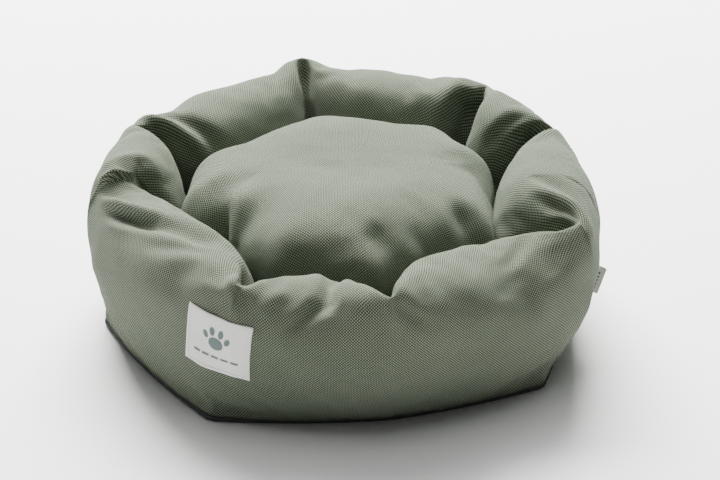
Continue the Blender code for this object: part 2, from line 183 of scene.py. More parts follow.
def set_coords(piece, points):
    piece.data.vertices.foreach_set("co", np.asarray(points, np.float32).ravel())
    piece.data.update()


def grid_normals(points, closed):
    """Outward unit normals of a (columns, rows, 3) grid whose columns go anticlockwise."""
    if closed:
        along = np.roll(points, -1, axis=0) - np.roll(points, 1, axis=0)
    else:
        along = np.gradient(points, axis=0)
    up = np.gradient(points, axis=1)
    normal = np.cross(along, up)
    return normal / np.maximum(np.linalg.norm(normal, axis=2, keepdims=True), 1e-9)


def inflate(piece, pins, pressure, shrink, frames, cap, keep=1.0, stiffness=12.0, bending=0.4):
    """Blows the cloth up with Blender's cloth solver and keeps the result, capped, in the mesh."""
    start = coords(piece)
    group = piece.vertex_groups.new(name="pinned")
    for weight in sorted(set(np.round(pins, 1)) - {0.0}):
        members = np.nonzero(np.round(pins, 1) == weight)[0]
        group.add(members.tolist(), float(weight), "REPLACE")
    cloth = piece.modifiers.new("cloth", "CLOTH")
    settings = cloth.settings
    settings.quality = 5
    settings.mass = 0.15
    settings.air_damping = 4.0
    settings.tension_stiffness = settings.compression_stiffness = stiffness
    settings.shear_stiffness = stiffness * 0.6
    settings.bending_stiffness = bending
    settings.use_pressure = True
    settings.uniform_pressure_force = pressure
    settings.shrink_min = shrink
    settings.vertex_group_mass = "pinned"
    settings.effector_weights.gravity = 0.0
    cloth.collision_settings.use_collision = False
    cloth.point_cache.frame_start = 1
    cloth.point_cache.frame_end = frames
    scene = bpy.context.scene
    for number in range(1, frames + 1):
        scene.frame_set(number)
    graph = bpy.context.evaluated_depsgraph_get()
    posed = piece.evaluated_get(graph).to_mesh()
    flat = np.empty(len(posed.vertices) * 3, np.float32)
    posed.vertices.foreach_get("co", flat)
    moved = flat.reshape(-1, 3).astype(float) - start
    piece.evaluated_get(graph).to_mesh_clear()
    piece.modifiers.remove(cloth)
    scene.frame_set(1)
    size = np.linalg.norm(moved, axis=1, keepdims=True)
    moved *= np.reshape(keep, (-1, 1)) * cap * np.tanh(size / cap) / np.maximum(size, 1e-9)
    set_coords(piece, start + moved)


def subdivide(piece, levels=1):
    """One or more Catmull-Clark subdivisions, kept in the mesh."""
    modifier = piece.modifiers.new("fine", "SUBSURF")
    modifier.levels = modifier.render_levels = levels
    graph = bpy.context.evaluated_depsgraph_get()
    fine = bpy.data.meshes.new_from_object(piece.evaluated_get(graph))
    piece.modifiers.remove(modifier)
    piece.data = fine
    fine.shade_smooth()


# ---- materials --------------------------------------------------------------------------------------
class Nodes:
    """Short calls for building one material's nodes."""

    def __init__(self, name):
        self.material = bpy.data.materials.new(name)
        self.material.use_nodes = True
        self.tree = self.material.node_tree
        self.shader = self.tree.nodes["Principled BSDF"]

    def link(self, value, socket):
        if isinstance(value, bpy.types.NodeSocket):
            self.tree.links.new(value, socket)
        else:
            socket.default_value = value

    def node(self, kind, values=(), **options):
        made = self.tree.nodes.new(kind)
        for key, value in options.items():
            setattr(made, key, value)
        for number, value in enumerate(values):
            if value is not None:
                self.link(value, made.inputs[number])
        return made

    def math(self, operation, *values):
        return self.node("ShaderNodeMath", values, operation=operation).outputs[0]

    def mix(self, share, first, second):
        made = self.node("ShaderNodeMix", data_type="RGBA")
        self.link(share, made.inputs["Factor"])
        self.link(first, made.inputs[6])
        self.link(second, made.inputs[7])
        return made.outputs[2]

    def noise(self, vector, scale, detail=3.0, roughness=0.5):
        made = self.node("ShaderNodeTexNoise")
        self.link(vector, made.inputs["Vector"])
        made.inputs["Scale"].default_value = scale
        made.inputs["Detail"].default_value = detail
        made.inputs["Roughness"].default_value = roughness
        return made.outputs["Fac"]

    def ramp(self, value, low, high):
        """A value from low..high brought to 0..1."""
        made = self.node("ShaderNodeMapRange", (value, low, high, 0.0, 1.0))
        return made.outputs[0]

    def cloth_position(self):
        """Across and along the cloth, in metres."""
        position = self.node("ShaderNodeUVMap", uv_map="cloth").outputs[0]
        split = self.node("ShaderNodeSeparateXYZ", (position,))
        return position, split.outputs[0], split.outputs[1]

    def object_position(self):
        return self.node("ShaderNodeTexCoord").outputs["Object"]

    def bump(self, height, strength, distance):
        made = self.node("ShaderNodeBump")
        made.inputs["Strength"].default_value = strength
        made.inputs["Distance"].default_value = distance
        self.link(height, made.inputs["Height"])
        self.link(made.outputs[0], self.shader.inputs["Normal"])

    def set(self, **values):
        names = {"roughness": "Roughness", "sheen": "Sheen Weight", "sheen_roughness": "Sheen Roughness",
                 "sheen_tint": "Sheen Tint", "specular": "Specular IOR Level", "colour": "Base Color"}
        for key, value in values.items():
            self.link(value, self.shader.inputs[names[key]])


def colour(red, green, blue):
    return (red, green, blue, 1.0)


def weave_material(name, pale, dark, pitch=0.00138):
    """Hopsack: pairs of pale and dark yarns that pass over each other in blocks."""
    n = Nodes(name)
    position, across, along = n.cloth_position()
    wobble = n.noise(position, 60.0, 2.0)
    bend = n.math("MULTIPLY", n.math("SUBTRACT", wobble, 0.5), pitch * 1.2)
    x = n.math("DIVIDE", n.math("ADD", across, bend), pitch)
    y = n.math("DIVIDE", n.math("SUBTRACT", along, bend), pitch)
    cell = n.math("ADD", n.math("FLOOR", x), n.math("FLOOR", y))
    over = n.math("ABSOLUTE", n.math("SUBTRACT", n.math("MODULO", n.math("ADD", cell, 4000.0), 2.0), 0.0))
    over = n.math("GREATER_THAN", over, 0.5)
    yarn_x = n.math("ABSOLUTE", n.math("SINE", n.math("MULTIPLY", x, 2.0 * math.pi)))
    yarn_y = n.math("ABSOLUTE", n.math("SINE", n.math("MULTIPLY", y, 2.0 * math.pi)))
    arch_x = n.math("ABSOLUTE", n.math("SINE", n.math("MULTIPLY", x, math.pi)))
    arch_y = n.math("ABSOLUTE", n.math("SINE", n.math("MULTIPLY", y, math.pi)))
    warp = n.math("MULTIPLY", n.math("POWER", yarn_x, 0.5), arch_y)
    weft = n.math("MULTIPLY", n.math("POWER", yarn_y, 0.5), arch_x)
    height = n.math("ADD", n.math("MULTIPLY", warp, over),
                    n.math("MULTIPLY", weft, n.math("SUBTRACT", 1.0, over)))
    fibre = n.noise(position, 2600.0, 2.0)
    slub = n.noise(position, 210.0, 3.0, 0.6)
    patch = n.noise(n.object_position(), 9.0, 3.0)
    yarns = n.mix(over, colour(*pale), colour(*dark))
    yarns = n.mix(n.math("MULTIPLY", n.ramp(slub, 0.40, 0.75), 0.5), yarns, colour(*[lerp(a, b, 0.5) for a, b in zip(dark, pale)]))
    # painted shade: where the weave's height is low, between the yarns, the colour falls to 0.42 of the dark yarn, as
    # shade in the hollows
    yarns_in_painted_shade = n.mix(n.ramp(height, 0.0, 0.9), colour(*[0.42 * c for c in dark]), yarns)
    tone = n.mix(n.ramp(patch, 0.30, 0.72), colour(0.90, 0.92, 0.90), colour(1.06, 1.05, 1.05))
    final = n.node("ShaderNodeMix", data_type="RGBA", blend_type="MULTIPLY")
    final.inputs["Factor"].default_value = 1.0
    n.link(yarns_in_painted_shade, final.inputs[6])
    n.link(tone, final.inputs[7])
    n.set(colour=final.outputs[2], roughness=n.math("ADD", n.math("MULTIPLY", fibre, 0.12), 0.82),
          sheen=0.10, sheen_roughness=0.45, sheen_tint=colour(0.80, 0.86, 0.78), specular=0.12)
    n.bump(n.math("ADD", height, n.math("MULTIPLY", fibre, 0.35)), 0.75, 0.0006)
    return n.material


def plain_cloth(name, tone, scale=900.0, rough_value=0.85, depth=0.0002, sheen=0.1):
    """A fine plain weave that is read from the object's own position."""
    n = Nodes(name)
    position = n.object_position()
    grain = n.noise(position, scale, 2.0)
    patch = n.noise(position, 22.0, 3.0)
    low = colour(*[0.82 * c for c in tone])
    n.set(colour=n.mix(n.ramp(n.math("ADD", n.math("MULTIPLY", grain, 0.6), n.math("MULTIPLY", patch, 0.4)),
                              0.32, 0.68), low, colour(*tone)),
          roughness=n.math("ADD", n.math("MULTIPLY", grain, 0.1), rough_value - 0.05), sheen=sheen, specular=0.2)
    n.bump(grain, 0.5, depth)
    return n.material


# ---- the bolster's cloth ---------------------------------------------------------------------------
def side_shares(index):
    """Columns along one side, closer together towards its corner seams and at the tag's seam."""
    even = np.arange(SIDE_COLUMNS) / SIDE_COLUMNS
    shares = 0.42 * even + 0.58 * (0.5 - 0.5 * np.cos(math.pi * even))
    if index == 0:
        seam = (math.radians(TAG_DEG) - corner(0)) / (corner(1) - corner(0))
        extra = seam + np.array((-0.014, -0.007, 0.0, 0.007, 0.014))
        shares = np.sort(np.concatenate([shares[np.abs(shares - seam) > 0.02], extra]))
    return shares


def chord(across, share, first, last):
    """Radius of the straight line between two corners that lie an angle apart."""
    before, after = share * across, (1.0 - share) * across
    return first * last * np.sin(across) / (first * np.sin(before) + last * np.sin(after))


def well_wall(index, share):
    """The inner wall's plain radius where it bulges most."""
    near = abs(2.0 * share - 1.0) ** 3.0
    across = corner(index + 1) - corner(index)
    return chord(across, share, WELL_RADIUS, WELL_RADIUS) - WELL_BULGE * (1.0 - near)


def outer_wall(index, share):
    first = WALL_RADIUS + WALL_REACH[index % SIDES]
    last = WALL_RADIUS + WALL_REACH[(index + 1) % SIDES]
    across = corner(index + 1) - corner(index)
    return lerp(chord(across, share, first, last), lerp(first, last, share), WALL_ROUNDNESS)


def base_corner(index):
    return corner(index) + math.radians(BASE_TURN_DEG[index % SIDES])


def base_wall(turn):
    """The outer wall's radius at its foot, at an angle."""
    index = max(i for i in range(-2, 2 * SIDES) if base_corner(i) <= turn)
    first = BASE_RADIUS + BASE_REACH[index % SIDES]
    last = BASE_RADIUS + BASE_REACH[(index + 1) % SIDES]
    across = base_corner(index + 1) - base_corner(index)
    share = (turn - base_corner(index)) / across
    return lerp(chord(across, share, first, last), lerp(first, last, share), BASE_ROUNDNESS)


def column_profile(index, share):
    """The plain cross-section at one place, in even steps of cloth, as (rows, 2) of radius and height."""
    near = abs(2.0 * share - 1.0) ** 3.0
    base = base_wall(lerp(corner(index), corner(index + 1), share))
    wall = outer_wall(index, share)
    well = well_wall(index, share)
    near *= CREST_PINCH[(index if share < 0.5 else index + 1) % SIDES]
    crest = lerp((wall + well) / 2.0 + CREST_SHIFT, wall - CORNER_CREST_INSET, near)
    rise = lerp(CORNER_RISE[index % SIDES], CORNER_RISE[(index + 1) % SIDES], share)
    top = lerp(CREST_HEIGHT + SIDE_RISE[index % SIDES], CORNER_CREST_HEIGHT + rise, near)
    power = lerp(CREST_FULLNESS, CORNER_FULLNESS, near)
    s = np.linspace(0.0, 1.0, PROFILE_SAMPLES // 4)
    turn = s * math.pi / 2.0
    parts = [
        (lerp(base, wall, np.sin(turn) ** 0.9), lerp(FOOT, WIDEST_HEIGHT, s)),
        (lerp(crest, wall, np.cos(turn) ** CREST_FULLNESS), lerp(WIDEST_HEIGHT, top, np.sin(turn) ** CREST_FULLNESS)),
        (lerp(crest, well, np.sin(turn) ** power), lerp(BULGE_HEIGHT, top, np.cos(turn) ** power)),
        (lerp(well, well + WELL_TUCK, 1.0 - np.cos(turn)), lerp(BULGE_HEIGHT, FOOT, s)),
    ]
    radius = np.concatenate([parts[0][0], *[part[0][1:] for part in parts[1:]]])
    height = np.concatenate([parts[0][1], *[part[1][1:] for part in parts[1:]]])
    length = np.concatenate([[0.0], np.cumsum(np.hypot(np.diff(radius), np.diff(height)))])
    even = np.linspace(0.0, length[-1], BOLSTER_ROWS)
    return np.stack([np.interp(even, length, radius), np.interp(even, length, height)], axis=1), length[-1]


def bolster_grid():
    """The plain bolster: points (columns, rows, 3), each column's angle and its cloth width."""
    points, turns, sides, widths = [], [], [], []
    for index in range(SIDES):
        for share in side_shares(index):
            section, width = column_profile(index, share)
            turn = lerp(corner(index), corner(index + 1), share)
            radius, height = section[:, 0], section[:, 1]
            points.append(np.stack([radius * math.cos(turn), radius * math.sin(turn), height], axis=1))
            turns.append(turn)
            sides.append(index)
            widths.append(width)
    return np.array(points), np.array(turns), np.array(sides), np.array(widths)


# at each corner's seam: how far over the bolster it starts to draw the cloth in, how deep it
# draws it, and how far to each side
DRAWN_FROM = (0.46, 0.47, 0.47, 0.46, 0.475, 0.52, 0.51, 0.51)
DRAWN_IN = (0.025, 0.025, 0.025, 0.014, 0.026, 0.013, 0.020, 0.020)
DRAWN_REACH = (0.0072, 0.0066, 0.0070, 0.0042, 0.0050, 0.0056, 0.0065, 0.0065)
CLOTH_WIDTH = 0.47                # of the bolster's cover, from its outer foot to its inner foot


def seam_distance(turns, radius, centre):
    """Signed distance round the bed from an angle, in metres, at each grid point."""
    away = (turns[:, None] - centre + math.pi) % (2.0 * math.pi) - math.pi
    return away * radius


def fold(turns, radius, along, start, end, rise, half_width):
    """Height of one fold at each grid point; it fades towards its ends and has a lip to each side."""
    middle = math.radians((start[0] + end[0]) / 2.0)
    across = seam_distance(turns, radius, middle)
    first = np.array((math.radians(start[0]) - middle, start[1]))
    last = np.array((math.radians(end[0]) - middle, end[1]))
    reach = WALL_RADIUS * 0.85
    x0, y0, x1, y1 = first[0] * reach, first[1] * CLOTH_WIDTH, last[0] * reach, last[1] * CLOTH_WIDTH
    run = np.array((x1 - x0, y1 - y0))
    length = np.linalg.norm(run)
    x, y = across - x0, along * CLOTH_WIDTH - y0
    part = (x * run[0] + y * run[1]) / length ** 2
    off = (x * run[1] - y * run[0]) / length
    ends = smooth(-0.25, 0.25, part) * (1.0 - smooth(0.75, 1.25, part))
    core = np.exp(-(off / half_width) ** 2)
    lips = np.exp(-((np.abs(off) - 2.0 * half_width) / half_width) ** 2)
    return rise * ends * (core - 0.22 * lips)


def bolster_relief(points, turns):
    """How far the cloth stands off its plain shape: drawn-in seams, folds and lumps of filling."""
    radius = np.linalg.norm(points[:, :, :2], axis=2)
    rows = np.linspace(0.0, 1.0, points.shape[1])[None, :]
    relief = 0.0030 * rough(points, 0.085, 1.0) + 0.0012 * rough(points, 0.030, 2.0)
    relief *= smooth(0.0, 0.12, rows) * (1.0 - smooth(0.86, 0.97, rows))
    for index in range(SIDES):
        away = seam_distance(turns, radius, corner(index))
        start = DRAWN_FROM[index]
        drawn = smooth(start, start + 0.10, rows) * (1.0 - 0.6 * smooth(0.80, 1.0, rows))
        relief -= DRAWN_IN[index] * drawn * np.exp(-np.abs(away) / DRAWN_REACH[index])
    for start, end, rise, half_width in FOLDS:
        relief += fold(turns, radius, rows, start, end, rise, half_width)
    relief -= 0.003 * (1.0 - smooth(0.36, 0.48, rows)) * smooth(0.0, 0.06, rows)
    away = seam_distance(turns, radius, math.radians(TAG_DEG))
    relief -= 0.0014 * np.exp(-(away / 0.0022) ** 2) * (1.0 - smooth(0.44, 0.50, rows))
    return relief


def make_bolster(material):
    points, turns, sides, widths = bolster_grid()
    points = points + grid_normals(points, True) * bolster_relief(points, turns)[..., None]
    columns, rows = points.shape[:2]
    faces, uvs = [], []
    radius = np.linalg.norm(points[:, :, :2], axis=2)
    middle = np.array([(corner(i) + corner(i + 1)) / 2.0 for i in range(SIDES)])
    half = np.array([(corner(i + 1) - corner(i)) / 2.0 * WALL_RADIUS for i in range(SIDES)])
    centre = np.concatenate([[0.0], np.cumsum(half[:-1] + half[1:])])
    drawn = smooth(0.42, 0.62, np.linspace(0.0, 1.0, rows))

    def cloth_uv(column, row, side):
        turn = turns[column % columns] + (2.0 * math.pi if column >= columns else 0.0)
        here = radius[column % columns, row]
        away = (turn - middle[side]) * lerp(WALL_RADIUS, here, drawn[row])
        return (centre[side] + away, widths[column % columns] * row / (rows - 1))

    for column in range(columns):
        side = sides[column]
        onward = (column + 1) % columns
        for row in range(rows - 1):
            faces.append((column * rows + row, onward * rows + row,
                          onward * rows + row + 1, column * rows + row + 1))
            uvs += [cloth_uv(column, row, side), cloth_uv(column + 1, row, side),
                    cloth_uv(column + 1, row + 1, side), cloth_uv(column, row + 1, side)]
    piece = mesh_object("bolster_cover", points, faces, material, uvs)
    pins = np.zeros((columns, rows))
    pins[:, :2] = pins[:, -2:] = 1.0
    share = np.linspace(0.0, 1.0, rows)
    corner_columns = [int(np.argmin(np.abs(turns - corner(i)))) for i in range(SIDES)]
    for column in corner_columns:
        pins[column, share > 0.47] = 1.0
    inflate(piece, pins.ravel(), pressure=3.0, shrink=-0.03, frames=18, cap=0.006)
    grid = coords(piece).reshape(columns, rows, 3)
    subdivide(piece)
    chambers = [f"{kind}_{i + 1}" for kind in ("inner_panel", "bolster_fill") for i in range(SIDES)]
    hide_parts("outer_cover", *chambers)
    return piece, grid, turns


# ---- the cushion -------------------------------------------------------------------------------------
CUSHION_COLUMNS = 168
CUSHION_RINGS = 44
CUSHION_GIRTH = 0.074
CUSHION_CLEAR = 0.0015


def well_radius(turn):
    """The inner wall's plain radius at any angle."""
    index = max(i for i in range(-1, SIDES + 1) if corner(i) <= turn + 1e-9)
    share = (turn - corner(index)) / (corner(index + 1) - corner(index))
    middle, wall = well_wall(index, 0.5), well_wall(index, share)
    return min(wall, lerp(middle, wall, 0.70)) - CUSHION_CLEAR


def cushion_relief(points):
    """The cushion's cloth with lumps and dents in its dome and a puckered girth seam."""
    upper = smooth(CUSHION_GIRTH, CUSHION_GIRTH + 0.03, points[:, 2])
    away = np.linalg.norm(points[:, :2], axis=1)
    out = points - np.array((0.0, 0.0, CUSHION_GIRTH))
    out = out * np.array((0.6, 0.6, 1.6))
    out /= np.maximum(np.linalg.norm(out, axis=1, keepdims=True), 1e-9)
    height = 0.0030 * rough(points, 0.090, 5.0) + 0.0006 * rough(points, 0.030, 6.0)
    height *= smooth(0.0, 0.012, np.abs(points[:, 2] - CUSHION_GIRTH))
    for x, y, depth, reach in DENTS:
        near = np.exp(-((points[:, 0] - x) ** 2 + (points[:, 1] - y) ** 2) / reach ** 2)
        height += depth * near * upper
    turn = np.arctan2(points[:, 1], points[:, 0])
    seam = np.exp(-((points[:, 2] - CUSHION_GIRTH) / 0.005) ** 2) * smooth(0.08, 0.12, away)
    height -= seam * (0.0045 + 0.0008 * np.sin(64.0 * turn))
    low = points[:, 2].min()
    moved = points + out * height[:, None]
    moved[:, 2] = np.maximum(moved[:, 2], low)
    return moved


def half_rings(end, power, reach):
    """(share of the girth, height) of even steps along the cloth, from the girth towards a pole."""
    turn = np.linspace(0.0, math.pi / 2.0, 600)
    share = np.cos(turn) ** (2.0 / power)
    height = lerp(CUSHION_GIRTH, end, np.sin(turn) ** (2.0 / power))
    length = np.concatenate([[0.0], np.cumsum(np.hypot(np.diff(share) * reach, np.diff(height)))])
    even = np.linspace(0.0, length[-1], CUSHION_RINGS + 1)[:-1]
    return list(zip(np.interp(even, length, share).tolist(), np.interp(even, length, height).tolist()))


def cushion_uvs(points, faces, rings):
    """Each half of the cover as it was cut: flat, with every ring at its distance along the cloth."""
    grid = points[1:-1].reshape(rings, CUSHION_COLUMNS, 3)
    steps = np.linalg.norm(np.diff(grid, axis=0), axis=2).mean(axis=1)
    first = np.linalg.norm(grid[0] - points[0], axis=1).mean()
    from_top = first + np.concatenate([[0.0], np.cumsum(steps)])
    last = np.linalg.norm(grid[-1] - points[-1], axis=1).mean()
    from_base = last + np.concatenate([np.cumsum(steps[::-1])[::-1], [0.0]])
    turns = np.arctan2(grid[0, :, 1], grid[0, :, 0])
    uvs = []
    for face in faces:
        upper = sum((vertex - 1) // CUSHION_COLUMNS for vertex in face) / len(face) < CUSHION_RINGS - 0.6
        upper = upper and max(face) < len(points) - 1
        for vertex in face:
            if vertex in (0, len(points) - 1):
                uvs.append((2.0, 2.0) if upper else (3.0, 2.0))
                continue
            ring, column = divmod(vertex - 1, CUSHION_COLUMNS)
            reach = from_top[ring] if upper else from_base[ring]
            across = 2.0 if upper else 3.0
            uvs.append((across + reach * math.cos(turns[column]), 2.0 + reach * math.sin(turns[column])))
    return uvs


def make_cushion(material):
    turns = np.arange(CUSHION_COLUMNS) / CUSHION_COLUMNS * 2.0 * math.pi
    girth = np.array([well_radius(turn) for turn in turns])
    for _ in range(3):
        girth = np.minimum(girth, (np.roll(girth, 1) + girth + np.roll(girth, -1)) / 3.0)
    low = LINING_TOP + 0.0005
    upper = half_rings(CUSHION_TOP, 4.0, float(girth.mean()))
    lower = half_rings(low, 4.5, float(girth.mean()))
    rings = upper[::-1] + lower[1:]
    points = [(0.0, 0.0, CUSHION_TOP)]
    for share, height in rings:
        for turn, reach in zip(turns, girth):
            points.append((reach * share * math.cos(turn), reach * share * math.sin(turn), height))
    points.append((0.0, 0.0, low))
    points = cushion_relief(np.array(points))
    faces = []
    count = CUSHION_COLUMNS
    for number in range(count):
        onward = (number + 1) % count
        faces.append((0, 1 + number, 1 + onward))
        for ring in range(len(rings) - 1):
            here = 1 + ring * count
            faces.append((here + number, here + count + number, here + count + onward, here + onward))
        last = 1 + (len(rings) - 1) * count
        faces.append((last + number, len(points) - 1, last + onward))
    uvs = cushion_uvs(points, faces, len(rings))
    piece = mesh_object("cushion_cover", points, faces, material, uvs, body="cushion")
    pins = np.zeros(len(points))
    girth_ring = 1 + (CUSHION_RINGS - 1) * count
    pins[girth_ring:girth_ring + count] = 1.0
    keep = smooth(0.015, 0.085, np.linalg.norm(points[:, :2], axis=1))
    inflate(piece, pins, pressure=3.0, shrink=-0.010, frames=18, cap=0.008, keep=keep)
    subdivide(piece)
    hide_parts("cushion_top_cover", "cushion_bottom_cover", "cushion_fill")
    return piece


# ---- the base ------------------------------------------------------------------------------------------
UNDERSIDE_HEIGHT = 0.0009        # the cloth's height; its grip dots reach down to the floor
DOT_PITCH = 0.013
DOT_RADIUS = 0.0017
DOT_SIDES = 8


def disc_grid(outline, shares, height):
    """Points of rings that shrink from an outline to a centre point, which comes last."""
    points = []
    for share in shares:
        for x, y in outline:
            points.append((x * share, y * share, height))
    points.append((0.0, 0.0, height))
    return np.array(points)


def disc_faces(count, rings, flip=False):
    faces = []
    for number in range(count):
        onward = (number + 1) % count
        for ring in range(rings - 1):
            here = ring * count
            faces.append((here + number, here + onward, here + count + onward, here + count + number))
        last = (rings - 1) * count
        faces.append((last + number, last + onward, rings * count))
    return [face[::-1] for face in faces] if flip else faces


def flat_uvs(points, faces):
    return [(points[v][0] + 2.0, points[v][1] + 2.0) for face in faces for v in face]


def make_underside(material, dots_material, grid):
    """Dark cloth under the bed, its edge turned up over the foot of the bolster."""
    normals = grid_normals(grid, True)
    rim = []
    for row, off in ((1, 0.0011), (0, 0.0013)):
        ring = grid[:, row] + normals[:, row] * off
        rim.append(ring)
    rim[1][:, 2] = FOOT
    foot = grid[:, 0, :2] + normals[:, 0, :2] * 0.0004
    shares = (1.0, 0.97, 0.85, 0.68, 0.5, 0.32, 0.15)
    points = np.concatenate([rim[0], rim[1], disc_grid(foot, shares, UNDERSIDE_HEIGHT)])
    faces = disc_faces(len(foot), len(shares) + 2, flip=True)
    cloth = mesh_object("underside_cloth", points, faces, material, flat_uvs(points, faces))
    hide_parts("nonslip_underside")
    edge = float(np.linalg.norm(foot, axis=1).max())
    reach = int(edge / DOT_PITCH) + 1
    turns = np.arctan2(foot[:, 1], foot[:, 0])
    order = np.argsort(turns)
    edges = np.linalg.norm(foot, axis=1)[order]
    dot_points, dot_faces = [], []
    for line in range(-reach, reach + 1):
        for place in range(-reach, reach + 1):
            x = (place + 0.5 * (line % 2)) * DOT_PITCH
            y = line * DOT_PITCH * 0.87
            limit = np.interp(math.atan2(y, x), turns[order], edges, period=2.0 * math.pi)
            if math.hypot(x, y) > limit - 0.010:
                continue
            first = len(dot_points)
            for radius, height in ((DOT_RADIUS, UNDERSIDE_HEIGHT), (DOT_RADIUS * 0.8, 0.0002)):
                for number in range(DOT_SIDES):
                    turn = number * 2.0 * math.pi / DOT_SIDES
                    dot_points.append((x + radius * math.cos(turn), y + radius * math.sin(turn), height))
            dot_points.append((x, y, 0.0))
            for number in range(DOT_SIDES):
                onward = (number + 1) % DOT_SIDES
                dot_faces.append((first + onward, first + number,
                                  first + DOT_SIDES + number, first + DOT_SIDES + onward))
                dot_faces.append((first + DOT_SIDES + onward, first + DOT_SIDES + number,
                                  first + 2 * DOT_SIDES))
    dots = mesh_object("grip_dots", dot_points, dot_faces, dots_material)


def floor_outline(grid, height, inset):
    """Just inside the inner wall at a height, as (x, y) round the well."""
    outline = []
    for column in grid:
        inner = column[int(len(column) * 0.62):]
        order = np.argsort(inner[:, 2])
        radius = np.interp(height, inner[order, 2], np.linalg.norm(inner[order, :2], axis=1)) - inset
        turn = math.atan2(column[-1, 1], column[-1, 0])
        outline.append((radius * math.cos(turn), radius * math.sin(turn)))
    outline = np.array(outline)
    for _ in range(4):
        outline = (np.roll(outline, 1, axis=0) + 2.0 * outline + np.roll(outline, -1, axis=0)) / 4.0
    return outline


def make_base(pad_material, lining_material, grid):
    """A thin pad of fibre in the floor of the well, and the lining over it."""
    low, high = 0.0022, LINING_TOP - 0.0016
    outline = floor_outline(grid, 0.006, 0.004)[::2]
    count = len(outline)
    top = disc_grid(outline, (0.985, 0.93, 0.82, 0.68, 0.5, 0.32, 0.15), high)
    top[:, 2] += 0.0004 * rough(top, 0.030, 8.0)
    top[:count, 2] -= 0.0012
    bottom = disc_grid(outline, (0.985, 0.8, 0.5, 0.2), low)
    side = disc_grid(outline, (1.0,), (low + high) / 2.0)[:-1]
    points = np.concatenate([side, top, side[:0], bottom])
    faces = [tuple(v + count for v in face) for face in disc_faces(count, 7)]
    base = count + len(top)
    faces += [tuple(v + base for v in face) for face in disc_faces(count, 4, flip=True)]
    for number in range(count):
        onward = (number + 1) % count
        faces.append((number, onward, count + onward, count + number))
        faces.append((onward, number, base + number, base + onward))
    pad = mesh_object("base_wadding", points, faces, pad_material)
    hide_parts("base_pad")
    outline = floor_outline(grid, LINING_TOP, 0.0005)[::2]
    shares = (1.0, 0.97, 0.9, 0.8, 0.68, 0.55, 0.42, 0.3, 0.18, 0.08)
    points = disc_grid(outline, shares, LINING_TOP - 0.0004)
    points[:, 2] += 0.0004 * rough(points, 0.035, 9.0)
    faces = disc_faces(len(outline), len(shares))
    lining = mesh_object("well_lining", points, faces, lining_material, flat_uvs(points, faces))
    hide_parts("base_lining")


# ---- the label -----------------------------------------------------------------------------------------
LABEL_DEG = 242.3
LABEL_CENTRE = 0.0925
LABEL_WIDTH = 0.066
LABEL_HEIGHT = 0.058
LABEL_TILT = math.radians(-7.0)
LABEL_COLUMNS = 44
LABEL_ROWS = 38
LABEL_OFF = 0.0011
HEM = 0.0045


class Label:
    """The sewn label's surface: a place on it, as shares across and up, to a point on the wall."""

    def __init__(self, wall):
        flat = np.empty(len(wall.data.vertices) * 3, np.float32)
        wall.data.vertices.foreach_get("co", flat)
        self.tree = BVHTree.FromPolygons(
            flat.reshape(-1, 3).tolist(), [tuple(face.vertices) for face in wall.data.polygons])
        turn = math.radians(LABEL_DEG)
        self.out = Vector((math.cos(turn), math.sin(turn), 0.0))
        self.right = Vector((-math.sin(turn), math.cos(turn), 0.0))
        self.centre = self.out * 0.40 + Vector((0.0, 0.0, LABEL_CENTRE))

    def cast(self, x, z):
        start = self.centre + self.right * x + Vector((0.0, 0.0, z))
        hit, normal, _, _ = self.tree.ray_cast(start, -self.out)
        return hit, normal

    def at(self, across, up, off=0.0):
        """The point for shares -0.5 to 0.5 across and up, a little off the wall."""
        x, y = across * LABEL_WIDTH, up * LABEL_HEIGHT
        x, y = (x * math.cos(LABEL_TILT) - y * math.sin(LABEL_TILT),
                x * math.sin(LABEL_TILT) + y * math.cos(LABEL_TILT))
        hit, normal = self.cast(x, y)
        return hit + self.out * (LABEL_OFF + off)


def label_relief(across, up):
    """The label's folded hem stands higher than its middle, and its stitch line is pulled down."""
    x = 0.5 * LABEL_WIDTH - abs(across) * LABEL_WIDTH
    y = 0.5 * LABEL_HEIGHT - abs(up) * LABEL_HEIGHT
    edge = min(x, y)
    hem = 0.0005 * (1.0 - float(smooth(HEM - 0.0008, HEM + 0.0004, edge)))
    pulled = 0.0004 * math.exp(-((edge - 0.0030) / 0.0008) ** 2)
    return hem - pulled + 0.0003 * math.sin(across * 9.0) * math.sin(up * 7.0 + 1.0)


def sheet_strip(label, outline, centre, off):
    """One printed shape: a flat outline of (across, up) in metres, laid on the label."""
    points = []
    ring = [centre] + outline
    for x, y in ring:
        across, up = x / LABEL_WIDTH, y / LABEL_HEIGHT
        points.append(tuple(label.at(across, up, label_relief(across, up) + off)))
    count = len(outline)
    faces = [(0, 1 + number, 1 + (number + 1) % count) for number in range(count)]
    return points, faces


def oval(x, y, wide, high, turn=0.0, sides=20):
    outline = []
    for number in range(sides):
        angle = number * 2.0 * math.pi / sides
        u, v = wide * math.cos(angle), high * math.sin(angle)
        outline.append((x + u * math.cos(turn) - v * math.sin(turn),
                        y + u * math.sin(turn) + v * math.cos(turn)))
    return outline


